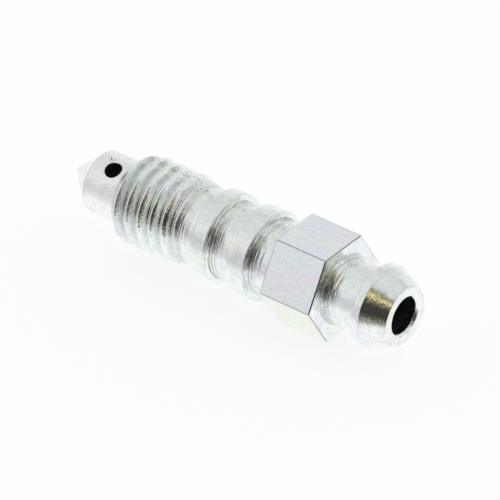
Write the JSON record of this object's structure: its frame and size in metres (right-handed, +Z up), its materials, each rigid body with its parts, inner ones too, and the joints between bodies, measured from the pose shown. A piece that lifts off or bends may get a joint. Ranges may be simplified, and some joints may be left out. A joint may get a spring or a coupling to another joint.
{
  "type": "bleeder screw",
  "caption": "Zinc-plated brake bleeder screw with seat cone, cross hole, M8 thread, grooved collars, hexagon and barbed hose nipple.",
  "frame": {"origin": "centre of the overall box in X and Y, on the flat of the hexagon that the screw lies on", "axes": "+X along the screw's axis towards the hose nipple, +Z up out of the upper flat of the hexagon, +Y across"},
  "size_m": [0.0342, 0.0092, 0.008],
  "materials": {
    "zinc_plate": "bright zinc plate with a thin clear chromate, over turned steel"
  },
  "bodies": {
    "root": {"bleeder_screw": "zinc_plate"}
  },
  "joints": []
}
